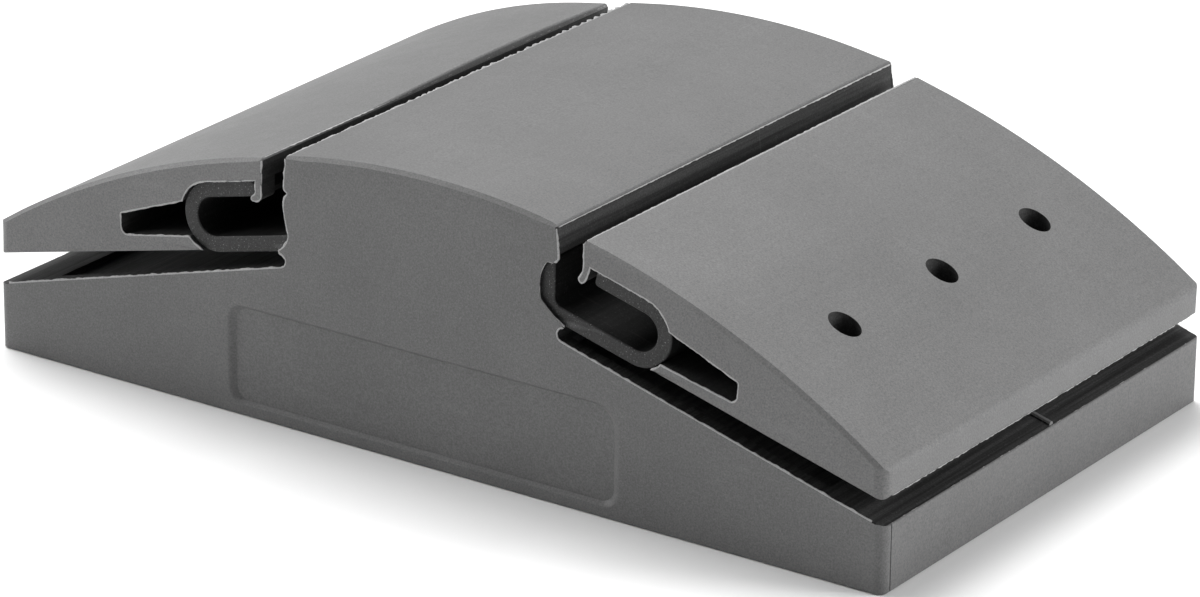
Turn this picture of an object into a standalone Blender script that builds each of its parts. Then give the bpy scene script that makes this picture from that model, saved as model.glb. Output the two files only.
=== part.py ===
"""Modular rubber speed bump with two sprung ramp flaps.

X runs across the bump in the direction of travel, Y along the kerb-to-kerb
extrusion and Z up.  The origin is the middle of the footprint, on the road.
All driving sizes are in millimetres and become metres through MM.
"""
import math

import bmesh
import bpy
from mathutils import Matrix, Vector

MM = 0.001

# ---- whole object ---------------------------------------------------------
WIDTH = 301.6            # across the bump, along X
LENGTH = 168.6           # along the extrusion, along Y
HALF_W = WIDTH / 2
HALF_L = LENGTH / 2
CORNER_RADIUS_FRONT = 3.4    # upright corner edges of the base, seen from above
CORNER_RADIUS_BACK = 1.5
GAP = 0.3                # clearance between pieces that touch

# ---- base: flanges, ridge and slot ----------------------------------------
END_HEIGHT = 19.4        # height of the low end faces
FLANGE_SLOPE = 0.2735    # rise of the flange top per mm towards the ridge
RIDGE_HALF = 45.6        # half the width of the ridge at its lip
RIDGE_EDGE_Z = 80.7      # top edge of the ridge sides
CROWN_Z = 85.0           # top of the domed ridge
RIDGE_EDGE_RADIUS = 0.7
RIDGE_WALL_Z = 71.0      # foot of the plain wall over the web's wavy edge
SLOT_END_X = 46.0        # inner end of the slot under a flap
SLOT_RADIUS = 2.1

# ---- base: groove that seats the clip's leg --------------------------------
PIVOT_X = 47.0           # centre of the clip's heel, where a flap rocks
PIVOT_Z = 59.6
GROOVE_TOP_Z = 72.4
GROOVE_CHAMFER = 1.5
WEB = 1.0                # thin wall that closes a groove at its end
WINDOW_TOP_Z = 69.7
WINDOW_BOTTOM_Z = 52.3
MOUTH_X = 57.6           # grooves and windows are cut in from here

# ---- base: shallow recesses and the cross rib ------------------------------
RIM_WIDTH = 5.5          # rim in front of and behind the flange recess
RECESS_DEPTH = 1.6
RECESS_OUTER_X = 130.0
RIB_Y = 2.4
RIB_WIDTH = 1.8
RIB_HEIGHT = 1.0
RIB_ROOT = 4.0           # how deep the rib is sunk into the flange
PANEL_HALF_W = 64.2      # floor of the blank panel on each long face
PANEL_BOTTOM_Z = 4.2
PANEL_TOP_Z = 32.1
PANEL_DEPTH = 1.0
PANEL_DRAFT_X = 2.8      # how far the sloping walls run outside the floor
PANEL_DRAFT_Z = 1.1
PANEL_CORNER = 4.0
PANEL_WIDE_CORNER = 7.0

# ---- clip ------------------------------------------------------------------
CLIP_THICKNESS = 4.6
CLIP_RECESS = 1.3        # the clip ends this far inside each long face
HEEL_RADIUS = 5.0        # centre-line radii
BEND_RADIUS = 8.0
CLIP_TILT = math.radians(14.15)   # fall of the two arms towards the road
BOTTOM_ARM = 25.1
TOP_ARM = 17.0
LEG_TOP_Z = 70.2

# ---- flap ------------------------------------------------------------------
FLAP_INNER_X = 54.2
FLAP_INNER_Z = 78.4
FLAP_OUTER_X = {"left": 150.2, "right": 151.0}
FLAP_OUTER_TOP_Z = 36.7
FLAP_BOTTOM_W = {"left": -6.2, "right": -5.0}   # underside, square to the arms from the heel
FLAP_CROWN_RADIUS = 278.0
FLAP_EDGE_RADIUS = 0.7
FLAP_NOSE_RADIUS = 3.5
FLAP_CORNER_RADIUS = 4.0
FLAP_HEEL_RADIUS = 1.2   # lower outer edge
HOOK_THICKNESS = 2.1
HOOK_LENGTH = 6.3        # along Y, at each end of the flap
HOLLOW_TOP_INNER = (82.6, 59.2)
HOLLOW_TOP_OUTER = (104.6, 50.4)
HOLLOW_BOTTOM_OUTER = (104.2, 43.9)
HOLLOW_BOTTOM_INNER = (79.0, 49.9)
HOLLOW_RADIUS = 1.2
BOLT_X = 114.2           # row of bolt holes, in the right flap only
BOLT_Y = 2.0             # middle of the row
BOLT_Z = 47.0
BOLT_COUNT = 3
BOLT_PITCH = 49.6
BOLT_DIAMETER = 9.2
BOLT_DRILL_LENGTH = 80.0
CUT_LOW, CUT_HIGH = -60.0, 90.0   # reach of the upright cutters

# ---- both flaps lean the same way, about +Y, from their drawn angle ----------
SETTLE = math.radians(0.9)


# ---------------------------------------------------------------------------
# outlines
# ---------------------------------------------------------------------------
def arc(centre, radius, start, end, steps):
    """Points of an arc from angle start to angle end, in degrees."""
    points = []
    for i in range(steps + 1):
        a = math.radians(start + (end - start) * i / steps)
        points.append((centre[0] + radius * math.cos(a), centre[1] + radius * math.sin(a)))
    return points


def bulge(start, end, radius, steps):
    """Points of a shallow arc from start to end that bulges to the left of its way."""
    a, b = Vector(start), Vector(end)
    half = (b - a).length / 2
    across = (b - a).normalized()
    left = Vector((-across.y, across.x))
    centre = (a + b) / 2 - left * math.sqrt(radius ** 2 - half ** 2)
    first = math.degrees(math.atan2(a.y - centre.y, a.x - centre.x))
    last = math.degrees(math.atan2(b.y - centre.y, b.x - centre.x))
    return arc(centre, radius, first, last, steps)


def rounded(corners, steps=6):
    """Closed outline from (x, z, radius) corners, each corner an arc of its radius."""
    points = []
    for i, (x, z, radius) in enumerate(corners):
        here = Vector((x, z))
        if radius <= 0:
            points.append((x, z))
            continue
        before = (Vector(corners[i - 1][:2]) - here).normalized()
        after = (Vector(corners[(i + 1) % len(corners)][:2]) - here).normalized()
        half_angle = before.angle(after) / 2
        middle = here + (before + after).normalized() * radius / math.sin(half_angle)
        reach = radius / math.tan(half_angle)
        first = here + before * reach - middle
        last = here + after * reach - middle
        a = math.atan2(first.y, first.x)
        turn = (math.atan2(last.y, last.x) - a + math.pi) % (2 * math.pi) - math.pi
        points += arc(middle, radius, math.degrees(a), math.degrees(a + turn), steps)
    return points


def mirrored(points):
    return [(-x, z) for x, z in reversed(points)]


# ---------------------------------------------------------------------------
# solids
# ---------------------------------------------------------------------------
def new_collection(name):
    collection = bpy.data.collections.new(name)
    bpy.context.scene.collection.children.link(collection)
    return collection


def prism(name, outline, low, high, collection, up="Y"):
    """Solid of a flat outline, swept from low to high.

    With up="Y" the outline lies in XZ and is swept along Y; with up="Z" it lies
    in XY and is swept along Z.
    """
    curve = bpy.data.curves.new(name, "CURVE")
    curve.dimensions = "2D"
    curve.fill_mode = "BOTH"
    curve.extrude = (high - low) / 2 * MM
    spline = curve.splines.new("POLY")
    spline.points.add(len(outline) - 1)
    for point, (x, z) in zip(spline.points, outline):
        point.co = (x * MM, z * MM, 0.0, 1.0)
    spline.use_cyclic_u = True
    sketch = bpy.data.objects.new(name + "_sketch", curve)
    bpy.context.scene.collection.objects.link(sketch)
    middle = (high + low) / 2 * MM
    if up == "Y":
        placing = Matrix.Translation((0, middle, 0)) @ Matrix.Rotation(math.pi / 2, 4, "X")
    else:
        placing = Matrix.Translation((0, 0, middle))
    sketch.matrix_world = placing
    bpy.context.view_layer.update()
    evaluated = sketch.evaluated_get(bpy.context.evaluated_depsgraph_get())
    mesh = bpy.data.meshes.new_from_object(evaluated)
    mesh.name = name
    mesh.transform(placing)
    tidy(mesh)
    bpy.data.objects.remove(sketch)
    bpy.data.curves.remove(curve)
    solid = bpy.data.objects.new(name, mesh)
    collection.objects.link(solid)
    return solid


def tidy(mesh):
    """Weld the caps of a swept outline and turn every face outwards."""
    bm = bmesh.new()
    bm.from_mesh(mesh)
    bmesh.ops.remove_doubles(bm, verts=bm.verts, dist=0.000002)
    bmesh.ops.recalc_face_normals(bm, faces=bm.faces)
    bm.to_mesh(mesh)
    bm.free()


def cutter(solid):
    solid.hide_render = True
    solid.display_type = "WIRE"
    return solid


def combine(solid, other, operation):
    """Add one exact Boolean step to a solid."""
    step = solid.modifiers.new(other.name, "BOOLEAN")
    step.solver = "EXACT"
    step.operation = operation
    step.object = other
    return step


def material(name, colour, roughness):
    made = bpy.data.materials.new(name)
    made.use_nodes = True
    shader = made.node_tree.nodes["Principled BSDF"]
    shader.inputs["Base Color"].default_value = (*colour, 1.0)
    shader.inputs["Roughness"].default_value = roughness
    shader.inputs["Metallic"].default_value = 0.0
    return made


def finish(solid, made):
    solid.data.materials.clear()
    solid.data.materials.append(made)
    solid.data.shade_smooth()
    solid.data.set_sharp_from_angle(angle=math.radians(30))


# ---------------------------------------------------------------------------
# base
# ---------------------------------------------------------------------------
def flange_z(x):
    """Height of the flange top at a distance x from the middle."""
    return END_HEIGHT + FLANGE_SLOPE * (HALF_W - x)


def base_side():
    """Right side of the base section, from the low end up to the ridge's edge."""
    slot_x = SLOT_END_X + SLOT_RADIUS
    slot_centre = (slot_x, flange_z(slot_x) + SLOT_RADIUS * 1.04)
    fall = math.degrees(math.atan(FLANGE_SLOPE))
    slot = arc(slot_centre, SLOT_RADIUS, 270 - fall, 90, 10)
    wall = [
        (48.4, 52.5),
        (46.2, 54.4),
        (45.0, 56.4),
        (45.0, 58.6),
        (45.9, 62.0),
        (46.5, 65.4),
        (46.2, 68.2),
        (45.2, 69.9),
        (RIDGE_HALF + 0.6, RIDGE_WALL_Z),
    ]
    return [(HALF_W, 0.0), (HALF_W, END_HEIGHT)] + slot + wall


def base_section():
    """Whole section: both sides and the domed top of the ridge."""
    side = base_side()
    edge = (RIDGE_HALF, RIDGE_EDGE_Z)
    crown_radius = (RIDGE_HALF ** 2 + (CROWN_Z - RIDGE_EDGE_Z) ** 2) / (2 * (CROWN_Z - RIDGE_EDGE_Z))
    dome = bulge((-RIDGE_HALF, RIDGE_EDGE_Z), edge, crown_radius, 24)[::-1]
    corner = rounded([(RIDGE_HALF, RIDGE_WALL_Z, 0), (*edge, RIDGE_EDGE_RADIUS), (*dome[3], 0)])
    corner = corner[1:-1]
    top = corner + dome[2:-2] + mirrored(corner)
    return side + top + mirrored(side)


def groove_section():
    """Groove behind the lip: a round seat for the heel and a flat wall for the leg."""
    seat_radius = HEEL_RADIUS + CLIP_THICKNESS / 2 + GAP
    wall_x = PIVOT_X - seat_radius
    seat = arc((PIVOT_X, PIVOT_Z), seat_radius, 180, 270 - math.degrees(CLIP_TILT), 14)
    return [
        (MOUTH_X, seat[-1][1] - math.tan(CLIP_TILT) * (MOUTH_X - seat[-1][0])),
        (MOUTH_X, GROOVE_TOP_Z),
        (wall_x + GROOVE_CHAMFER, GROOVE_TOP_Z),
        (wall_x, GROOVE_TOP_Z - GROOVE_CHAMFER),
    ] + seat


def window_section():
    """Opening in an end web, through which the clip's leg shows."""
    return rounded([
        (MOUTH_X, WINDOW_BOTTOM_Z, 0),
        (MOUTH_X, WINDOW_TOP_Z, 0),
        (42.5, WINDOW_TOP_Z, 0.8),
        (40.2, 65.6, 3.0),
        (40.2, 58.9, 3.0),
        (43.8, 55.2, 1.5),
        (48.3, WINDOW_BOTTOM_Z, 0),
    ])


def recess_section():
    """Shallow recess in a flange top."""
    inner = SLOT_END_X + 2.5
    above = 3.0
    return [
        (inner, flange_z(inner) - RECESS_DEPTH),
        (inner, flange_z(inner) + above),
        (RECESS_OUTER_X, flange_z(RECESS_OUTER_X) + above),
        (RECESS_OUTER_X, flange_z(RECESS_OUTER_X) - RECESS_DEPTH),
    ]


def plan_outline():
    """Footprint of the base with its rounded corners."""
    return rounded([
        (-HALF_W, -HALF_L, CORNER_RADIUS_FRONT),
        (HALF_W, -HALF_L, CORNER_RADIUS_FRONT),
        (HALF_W, HALF_L, CORNER_RADIUS_BACK),
        (-HALF_W, HALF_L, CORNER_RADIUS_BACK),
    ])


def panel_cutter(name, side, collection):
    """Tapered block for the blank panel; side is -1 for the front, 1 for the back."""
    floor_y = side * (HALF_L - PANEL_DEPTH)
    face_y = side * HALF_L
    outline = rounded([
        (-PANEL_HALF_W, PANEL_BOTTOM_Z, PANEL_CORNER),
        (PANEL_HALF_W, PANEL_BOTTOM_Z, PANEL_CORNER),
        (PANEL_HALF_W, PANEL_TOP_Z, PANEL_WIDE_CORNER),
        (-PANEL_HALF_W, PANEL_TOP_Z, PANEL_CORNER),
    ])
    block = prism(name, outline, min(floor_y, face_y), max(floor_y, face_y), collection)
    middle_z = (PANEL_BOTTOM_Z + PANEL_TOP_Z) / 2
    half_h = (PANEL_TOP_Z - PANEL_BOTTOM_Z) / 2
    grow_x = 1 + 2 * PANEL_DRAFT_X / PANEL_HALF_W
    grow_z = 1 + 2 * PANEL_DRAFT_Z / half_h
    for vertex in block.data.vertices:
        if abs(vertex.co.y) > (HALF_L - PANEL_DEPTH / 2) * MM:
            vertex.co.x *= grow_x
            vertex.co.z = middle_z * MM + (vertex.co.z - middle_z * MM) * grow_z
            vertex.co.y += side * PANEL_DEPTH * MM
    return cutter(block)


def make_base(parts, cutters, rubber):
    base = prism("base_body", base_section(), -HALF_L, HALF_L, parts)
    rounding = cutter(prism("base_rounding", plan_outline(), CUT_LOW, CUT_HIGH, cutters, up="Z"))
    combine(base, rounding, "INTERSECT")
    for side, flip in (("right", list), ("left", mirrored)):
        groove = prism(side + "_groove", flip(groove_section()), -HALF_L + WEB, HALF_L - WEB, cutters)
        combine(base, cutter(groove), "DIFFERENCE")
        end = -1 if side == "right" else 1
        low, high = sorted((end * (HALF_L + 1), end * (HALF_L - WEB - 1)))
        window = prism(side + "_window", flip(window_section()), low, high, cutters)
        combine(base, cutter(window), "DIFFERENCE")
        recess_end = HALF_L - RIM_WIDTH
        recess = prism(side + "_recess", flip(recess_section()), -recess_end, recess_end, cutters)
        combine(base, cutter(recess), "DIFFERENCE")
        combine(base, make_rib(side, flip, cutters), "UNION")
    combine(base, panel_cutter("front_panel", -1, cutters), "DIFFERENCE")
    combine(base, panel_cutter("back_panel", 1, cutters), "DIFFERENCE")
    finish(base, rubber)
    return base


def make_rib(side, flip, cutters):
    """Low rib across the flange top, half-way along the module."""
    inner, outer = SLOT_END_X + 6, HALF_W - 0.5
    outline = [
        (inner, flange_z(inner) - RIB_ROOT),
        (outer, flange_z(outer) - RIB_ROOT),
        (outer, flange_z(outer) + RIB_HEIGHT),
        (inner, flange_z(inner) + RIB_HEIGHT),
    ]
    y = RIB_Y if side == "right" else -RIB_Y
    return cutter(prism(side + "_rib", flip(outline), y - RIB_WIDTH / 2, y + RIB_WIDTH / 2, cutters))


# ---------------------------------------------------------------------------
# clip
# ---------------------------------------------------------------------------
def clip_centre_line():
    """Centre line of the clip section, measured from the heel's centre."""
    along = Vector((math.cos(CLIP_TILT), -math.sin(CLIP_TILT)))
    up = Vector((math.sin(CLIP_TILT), math.cos(CLIP_TILT)))
    fall = math.degrees(CLIP_TILT)
    points = [(-HEEL_RADIUS, LEG_TOP_Z - PIVOT_Z), (-HEEL_RADIUS, (LEG_TOP_Z - PIVOT_Z) / 2)]
    points += arc((0.0, 0.0), HEEL_RADIUS, 180, 270 - fall, 9)
    bend_centre = along * BOTTOM_ARM + up * (BEND_RADIUS - HEEL_RADIUS)
    points += arc(bend_centre, BEND_RADIUS, 270 - fall, 450 - fall, 18)
    end = bend_centre + up * BEND_RADIUS - along * TOP_ARM
    points.append(tuple(end))
    return points


def make_clip(side, pivot, parts, made):
    """C-shaped clip: a strip swept along Y and given its thickness."""
    sign = 1 if side == "right" else -1
    half = (HALF_L - CLIP_RECESS) * MM
    bm = bmesh.new()
    front = [bm.verts.new((sign * x * MM, -half, z * MM)) for x, z in clip_centre_line()]
    edges = [bm.edges.new(pair) for pair in zip(front, front[1:])]
    swept = bmesh.ops.extrude_edge_only(bm, edges=edges)
    moved = [item for item in swept["geom"] if isinstance(item, bmesh.types.BMVert)]
    bmesh.ops.translate(bm, verts=moved, vec=(0, 2 * half, 0))
    bmesh.ops.recalc_face_normals(bm, faces=bm.faces)
    mesh = bpy.data.meshes.new(side + "_clip")
    bm.to_mesh(mesh)
    bm.free()
    clip = bpy.data.objects.new(side + "_clip", mesh)
    parts.objects.link(clip)
    clip.parent = pivot
    shell = clip.modifiers.new("thickness", "SOLIDIFY")
    shell.thickness = CLIP_THICKNESS * MM
    shell.offset = 0.0
    shell.use_even_offset = True
    finish(clip, made)
    return clip


# ---------------------------------------------------------------------------
# flap
# ---------------------------------------------------------------------------
def from_pivot(point):
    return (point[0] - PIVOT_X, point[1] - PIVOT_Z)


def on_underside(x, side):
    """Point of the flap's underside at x, measured from the heel's centre."""
    z = FLAP_BOTTOM_W[side] / math.cos(CLIP_TILT) - math.tan(CLIP_TILT) * x
    return (x, z)


def on_ceiling(x, above=0.0):
    """Point of the ceiling over the clip's top arm at x, measured from the heel's centre."""
    w = 2 * BEND_RADIUS - HEEL_RADIUS + CLIP_THICKNESS / 2 + GAP + above
    return (x, w / math.cos(CLIP_TILT) - math.tan(CLIP_TILT) * x)


def flap_section(side):
    """Flap section, measured from the heel's centre, for the right-hand flap."""
    fall = math.degrees(CLIP_TILT)
    along = Vector((math.cos(CLIP_TILT), -math.sin(CLIP_TILT)))
    up = Vector((math.sin(CLIP_TILT), math.cos(CLIP_TILT)))
    bend_centre = along * BOTTOM_ARM + up * (BEND_RADIUS - HEEL_RADIUS)
    seat_radius = BEND_RADIUS + CLIP_THICKNESS / 2 + GAP

    inner_top = from_pivot((FLAP_INNER_X, FLAP_INNER_Z))
    outer_top = from_pivot((FLAP_OUTER_X[side], FLAP_OUTER_TOP_Z))
    dome = bulge(inner_top, outer_top, FLAP_CROWN_RADIUS, 24)
    outer_bottom = on_underside(outer_top[0], side)

    # angles at which the clip's round seat meets the underside and the hollow
    drop = bend_centre.dot(up) - FLAP_BOTTOM_W[side]
    tip_angle = -math.degrees(math.asin(drop / seat_radius)) - fall
    hollow_bottom = seat_angle(bend_centre, from_pivot(HOLLOW_BOTTOM_INNER))
    hollow_top = seat_angle(bend_centre, from_pivot(HOLLOW_TOP_INNER))
    lower_seat = arc(bend_centre, seat_radius, tip_angle, hollow_bottom, 6)
    upper_seat = arc(bend_centre, seat_radius, hollow_top, 90 - fall, 8)

    hollow = rounded([
        (*lower_seat[-1], 0),
        (*from_pivot(HOLLOW_BOTTOM_OUTER), HOLLOW_RADIUS),
        (*from_pivot(HOLLOW_TOP_OUTER), HOLLOW_RADIUS / 2),
        (*upper_seat[0], 0),
    ], steps=4)

    wall_x = inner_top[0] + 0.2
    hook_x = wall_x + HOOK_THICKNESS
    if side == "right":      # tip turned towards the ridge
        tip = [(hook_x - 1.2, 8.2), (hook_x - 2.2, 6.8), (hook_x - 3.7, 7.6), (wall_x - 0.4, 10.2)]
    else:                    # tip turned under the end of the clip's arm
        tip = [(hook_x, 6.7), (hook_x + 1.5, 5.6), (hook_x + 1.1, 4.8), (hook_x - 0.8, 4.9), (wall_x, 7.0)]
    hook = [on_ceiling(hook_x)] + tip
    top_corner = rounded([(wall_x, 10.0, 0), (*inner_top, FLAP_EDGE_RADIUS), (*dome[3], 0)])[1:-1]
    nose = rounded([(*dome[-4], 0), (*outer_top, FLAP_NOSE_RADIUS), (*outer_bottom, FLAP_HEEL_RADIUS),
                    (*lower_seat[0], 0)])[1:-1]
    return top_corner + dome[2:-3] + nose + lower_seat + hollow[1:-1] + upper_seat + hook


def seat_angle(centre, towards):
    """Angle on the clip's round seat that points at a place, in degrees."""
    return math.degrees(math.atan2(towards[1] - centre[1], towards[0] - centre[0]))


def make_flap(side, pivot, parts, cutters, rubber):
    flip = list if side == "right" else mirrored
    flap = prism(side + "_flap", flip(flap_section(side)), -HALF_L, HALF_L, parts)
    flap.parent = pivot

    # rounded upright corners at the outer end
    inner_x, outer_x = -20.0, FLAP_OUTER_X[side] - PIVOT_X
    plan = rounded([
        (inner_x, -HALF_L, 0),
        (outer_x, -HALF_L, FLAP_CORNER_RADIUS),
        (outer_x, HALF_L, FLAP_CORNER_RADIUS),
        (inner_x, HALF_L, 0),
    ])
    rounding = prism(side + "_flap_rounding", flip(plan), CUT_LOW, CUT_HIGH, cutters, up="Z")
    rounding.parent = pivot
    combine(flap, cutter(rounding), "INTERSECT")

    # the hooks stand only at the two ends
    low_x, high_x = -8.0, FLAP_INNER_X - PIVOT_X + HOOK_THICKNESS + 0.8
    hook_space = [(low_x, 0.0), (high_x, 0.0), on_ceiling(high_x, 0.1), on_ceiling(low_x, 0.1)]
    reach = HALF_L - HOOK_LENGTH
    space = prism(side + "_hook_space", flip(hook_space), -reach, reach, cutters)
    space.parent = pivot
    combine(flap, cutter(space), "DIFFERENCE")

    if side == "right":
        for number in range(BOLT_COUNT):
            combine(flap, make_bolt_hole(number, pivot, cutters), "DIFFERENCE")
    finish(flap, rubber)
    return flap


def make_bolt_hole(number, pivot, cutters):
    """Upright drill for one of the row of bolt holes in the right flap."""
    radius = BOLT_DIAMETER / 2 * MM
    bm = bmesh.new()
    bmesh.ops.create_cone(bm, cap_ends=True, segments=32, radius1=radius, radius2=radius,
                          depth=BOLT_DRILL_LENGTH * MM)
    mesh = bpy.data.meshes.new("bolt_hole_" + str(number + 1))
    bm.to_mesh(mesh)
    bm.free()
    hole = bpy.data.objects.new(mesh.name, mesh)
    cutters.objects.link(hole)
    hole.parent = pivot
    row_y = BOLT_Y + (number - (BOLT_COUNT - 1) / 2) * BOLT_PITCH
    hole.location = ((BOLT_X - PIVOT_X) * MM, row_y * MM, (BOLT_Z - PIVOT_Z) * MM)
    return cutter(hole)


def make_pivot(side, parts):
    """Empty on the rocking axis of one flap and its clip."""
    sign = 1 if side == "right" else -1
    pivot = bpy.data.objects.new(side + "_pivot", None)
    pivot.location = (sign * PIVOT_X * MM, 0, PIVOT_Z * MM)
    pivot.rotation_euler = (0, SETTLE, 0)
    parts.objects.link(pivot)
    return pivot


def main():
    for thing in list(bpy.data.objects):
        bpy.data.objects.remove(thing)
    parts = new_collection("rubber_speed_bump")
    cutters = new_collection("cutters")
    base_rubber = material("base_rubber", (0.12, 0.12, 0.12), 0.62)
    make_base(parts, cutters, base_rubber)
    for side in ("left", "right"):
        pivot = make_pivot(side, parts)
        flap_rubber = material(side + "_flap_rubber", (0.16, 0.16, 0.16), 0.58)
        clip_rubber = material(side + "_clip_rubber", (0.04, 0.04, 0.04), 0.6)
        make_flap(side, pivot, parts, cutters, flap_rubber)
        make_clip(side, pivot, parts, clip_rubber)


main()
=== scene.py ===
"""Looks of a rubber speed bump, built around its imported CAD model.

Each moulding is made again with rounded edges, finer curves and a rubber
surface.  Outlines are in millimetres and become metres through MM.
"""
import math

import bmesh
import bpy
from mathutils import Matrix, Vector, noise


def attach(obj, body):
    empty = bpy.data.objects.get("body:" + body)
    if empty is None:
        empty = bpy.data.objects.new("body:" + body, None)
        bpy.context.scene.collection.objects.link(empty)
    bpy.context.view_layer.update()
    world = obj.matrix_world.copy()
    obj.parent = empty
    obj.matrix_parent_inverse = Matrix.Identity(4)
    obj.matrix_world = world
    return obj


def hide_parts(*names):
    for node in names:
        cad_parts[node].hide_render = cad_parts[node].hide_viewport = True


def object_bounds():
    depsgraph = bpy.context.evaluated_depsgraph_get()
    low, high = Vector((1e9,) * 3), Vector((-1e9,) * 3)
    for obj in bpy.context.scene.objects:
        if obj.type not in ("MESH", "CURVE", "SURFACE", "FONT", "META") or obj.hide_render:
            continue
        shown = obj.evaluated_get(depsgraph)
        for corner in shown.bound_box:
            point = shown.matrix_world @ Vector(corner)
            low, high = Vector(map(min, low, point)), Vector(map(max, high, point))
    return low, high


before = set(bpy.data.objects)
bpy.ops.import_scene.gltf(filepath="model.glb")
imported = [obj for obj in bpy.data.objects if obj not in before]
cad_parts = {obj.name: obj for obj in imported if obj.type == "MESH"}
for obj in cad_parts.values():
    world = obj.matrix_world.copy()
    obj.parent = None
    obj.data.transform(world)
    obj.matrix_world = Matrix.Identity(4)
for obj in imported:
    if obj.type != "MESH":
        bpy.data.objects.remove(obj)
cad_low, cad_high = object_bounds()

MM = 0.001
X_AXIS, Y_AXIS, Z_AXIS = Matrix.Identity(3)
HALF_W = cad_high.x / MM
HALF_L = cad_high.y / MM
CROWN_Z = cad_high.z / MM
GAP = 0.3                  # play between a clip and its seats

# base: X across the bump, Y along it and Z up, with the right side drawn and mirrored
CORNER_RADIUS_FRONT = 3.4
CORNER_RADIUS_BACK = 2.4
PLAN_CORNER_STEPS = 10
FOOT_RADIUS = 0.5
END_HEIGHT = 19.4
END_EDGE_RADIUS = 0.7
FLANGE_SLOPE = 0.2735
FLANGE_END_X = HALF_W - 4.0
RIDGE_HALF = 45.6
RIDGE_EDGE_Z = 80.7
RIDGE_EDGE_RADIUS = 0.7
RIDGE_WALL_TOP_Z = 74.5
DOME_STEPS = 48
DOME_SKIP = 3              # points of the dome that each rounded edge takes the place of
SLOT_END_X = 46.0
SLOT_RADIUS = 2.1
SLOT_RISE = 1.04           # height of the slot's centre over the flange, in slot radii
SLOT_TOP_Z = 52.5
GROOVE_TOP_Z = 72.4
GROOVE_CHAMFER = 1.5
MOUTH_X = 57.6
WINDOW_BOTTOM_Z = 52.3
WINDOW_TOP_Z = 69.7
WEB = 1.0                  # thickness of the end webs that the windows cut through
RIM_WIDTH = 5.5
RECESS_INNER_X = 48.5
RECESS_OUTER_X = 130.0
RECESS_DEPTH = 1.6
RECESS_DRAFT = 0.9
RIB_INNER_X = 52.0
RIB_OUTER_X = HALF_W - 0.7
RIB_Y = 2.4
RIB_WIDTH = 1.8
RIB_HEIGHT = 1.0
RIB_ROOT = 3.5
PANEL_HALF_W = 64.2
PANEL_BOTTOM_Z = 4.2
PANEL_TOP_Z = 32.1
PANEL_DEPTH = 1.3
PANEL_DRAFT_X = 2.8
PANEL_DRAFT_Z = 1.1
PANEL_CORNER = 4.0
PANEL_WIDE_CORNER = 7.0
PANEL_WALL = (             # how far the wall has spread, and how deep it still is
    (0.0, 1.0),
    (0.12, 0.86),
    (0.35, 0.58),
    (0.6, 0.27),
    (0.8, 0.09),
    (1.0, 0.0),
    (1.25, -0.4),
)

# clips, drawn from the centre of the heel
PIVOT = {"left": Vector((-47.0, 0.0, 59.6)), "right": Vector((47.0, 0.0, 59.6))}
SETTLE = math.radians(0.9)  # how far a clip and its flap lean when they are at rest
CLIP_THICKNESS = 4.6
CLIP_RECESS = 1.3          # how far a clip's ends stand back from the end faces
HEEL_RADIUS = 5.0
BEND_RADIUS = 8.0
CLIP_TILT = math.radians(14.15)
BOTTOM_ARM = 25.1
TOP_ARM = 17.0
LEG_TOP_Z = 70.2
CLIP_CORNER = 1.3

# flaps
FLAP_INNER = (54.2, 78.4)
FLAP_OUTER_X = {"left": 150.2, "right": 151.0}
FLAP_OUTER_TOP_Z = 36.7
FLAP_BOTTOM_W = {"left": -6.2, "right": -5.0}    # from the heel's centre, square to the slope
FLAP_CROWN_RADIUS = 278.0
FLAP_EDGE_RADIUS = 0.7
FLAP_NOSE_RADIUS = 3.5
FLAP_HEEL_RADIUS = 1.2
FLAP_CORNER_RADIUS = 4.0
FLAP_CROWN_STEPS = 60
FLAP_SKIP_INNER = 4        # points of the dome that its rounded edge and its nose take the place of
FLAP_SKIP_OUTER = 6
DOME_SKIN = 0.8            # how deep under its dome a point still counts as on it
FAR_DROP = 0.35            # how the domes' back ends differ from their front ends
FAR_LIP_RISE = 1.6
FAR_DOME_RISE = 2.3
HOOK_THICKNESS = 2.1
HOOK_LENGTH = 6.3
HOOK_WALL_Z = 12.4         # above the centre of the heel
HOLLOW_TOP_INNER = (82.6, 59.2)
HOLLOW_TOP_OUTER = (104.6, 50.4)
HOLLOW_BOTTOM_OUTER = (104.2, 43.9)
HOLLOW_BOTTOM_INNER = (79.0, 49.9)
HOLLOW_RADIUS = 1.9
BOLT_X = 114.2
BOLT_Y = 2.0
BOLT_COUNT = 3
BOLT_PITCH = 49.6
BOLT_DIAMETER = 9.2
BOLT_SIDES = 48

# finish of the mouldings
TOP_EDGE_BEVEL = 1.1       # where the domed tops meet the end faces
BEVEL_START = 0.5          # the same bevel at a dome's long edges, where it begins
BEVEL_GROWTH = 0.4
SMALL_EDGE_BEVEL = 0.3
BEVEL_MARGIN = 0.6         # from the widest bevel to the first plain cross-section
STATION = 2.6              # spacing of the cross-sections along Y
HAIRPIN = 0.2              # at a fold sharper than this an end edge isn't inset
MOST_STRETCH = 1.5         # limit to a corner's inset, in bevels
SHARP_ANGLE = math.radians(34)
SEAM_WIDTH = 0.5           # parting line of the mould, down one corner of the base
SEAM_DEPTH = 0.7
CUT_LOW, CUT_HIGH = -60, 40    # reach of the tools that cut right through a flap

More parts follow.
